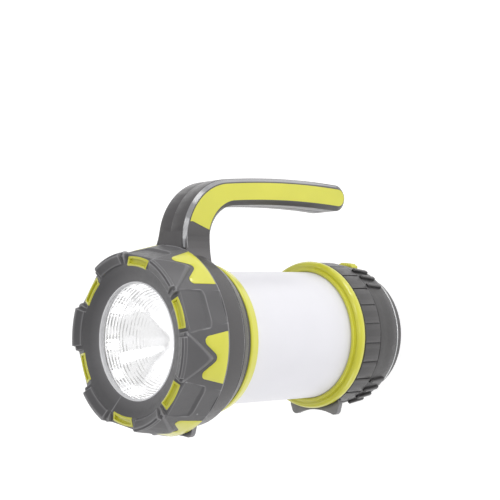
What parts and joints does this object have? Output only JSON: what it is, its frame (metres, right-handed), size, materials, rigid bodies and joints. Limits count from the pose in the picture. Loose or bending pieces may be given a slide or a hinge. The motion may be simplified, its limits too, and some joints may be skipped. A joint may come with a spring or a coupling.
{
  "type": "camping lantern",
  "caption": "Handheld camping lantern with a torch head, a lit shade tube, a cantilever carrying handle, a mode button, a port cover and a folding hook.",
  "frame": {"origin": "centre of the flat face of the base that the lantern stands on", "axes": "+Z along the lantern from base to torch head, +X towards the carrying handle, the two resting feet on the -X side"},
  "size_m": [0.1505, 0.1094, 0.1918],
  "materials": {
    "dark_shell": "moulded satin",
    "dark_overmould": "soft-touch matt",
    "rubber_black": "matt",
    "lime_gloss": "gloss",
    "shade_white": "frosted translucent",
    "column_white": "gloss",
    "board_white": "solder mask",
    "board_green": "solder mask",
    "switch_black": "moulded",
    "cell_wrap": "shrink sleeve",
    "wire_red": "insulation",
    "led_yellow": "phosphor",
    "nickel": "plated strip",
    "steel": "plated",
    "sink_aluminium": "machined",
    "reflector_chrome": "vacuum metallised",
    "lens_clear": "clear",
    "trim_pale": "gloss"
  },
  "bodies": {
    "lantern": {"base_plate": "dark_shell", "base_pad": "rubber_black", "hook_pins": "steel", "base_screws": "steel", "base_grip": "dark_shell", "base_housing": "dark_shell", "main_board": "board_green", "switch_board": "board_green", "tact_switch": "switch_black", "usb_socket": "steel", "charge_socket": "steel", "rear_ring": "lime_gloss", "front_ring": "lime_gloss", "lamp_shade": "shade_white", "rear_seal": "rubber_black", "front_seal": "rubber_black", "light_column": "column_white", "led_strip_1": "board_white", "led_strip_2": "board_white", "led_strip_3": "board_white", "led_strip_4": "board_white", "strip_lights": "led_yellow", "battery_cell_1": "cell_wrap", "battery_cell_2": "cell_wrap", "cell_contacts": "nickel", "cell_holder_rear": "switch_black", "cell_holder_front": "switch_black", "torch_wires": "wire_red", "heat_sink": "sink_aluminium", "upper_reflector_plate": "column_white", "torch_led_board": "board_white", "torch_led": "led_yellow", "reflector": "reflector_chrome", "front_lens": "lens_clear", "lens_seal": "rubber_black", "lens_trim": "trim_pale", "head_collar": "dark_shell", "head_cap": "dark_overmould", "head_accent_1": "lime_gloss", "head_accent_2": "lime_gloss", "head_accent_3": "lime_gloss", "head_accent_4": "lime_gloss", "head_accent_5": "lime_gloss", "head_accent_6": "lime_gloss", "rim_insert_1": "lime_gloss", "rim_insert_2": "lime_gloss", "rim_insert_3": "lime_gloss", "rim_insert_4": "lime_gloss", "rim_insert_5": "lime_gloss", "rim_insert_6": "lime_gloss", "handle_left_half": "dark_shell", "handle_right_half": "dark_shell", "handle_inlay_left": "lime_gloss", "handle_inlay_right": "lime_gloss", "handle_screws": "steel", "rear_foot": "dark_overmould", "front_foot": "dark_overmould"},
    "mode_button": {"mode_button": "lime_gloss"},
    "port_cover": {"port_cover": "dark_overmould"},
    "hanging_hook": {"hanging_hook": "steel"}
  },
  "joints": [
    {"name": "mode_button_press", "type": "slide", "parent": "lantern", "child": "mode_button", "axis": [-0.9903, 0.1392, 0], "range_m": [0, 0.0008], "stiffness_N_per_m": 500, "springref_m": -0.002},
    {"name": "port_cover_hinge", "type": "hinge", "parent": "lantern", "child": "port_cover", "pos_m": [-0.01269, 0.0415, 0.02], "axis": [0, 0, 1], "range_deg": [0, 100]},
    {"name": "hanging_hook_hinge", "type": "hinge", "parent": "lantern", "child": "hanging_hook", "pos_m": [0, 0, 0.0023], "axis": [0, 1, 0], "range_deg": [0, 90]}
  ]
}
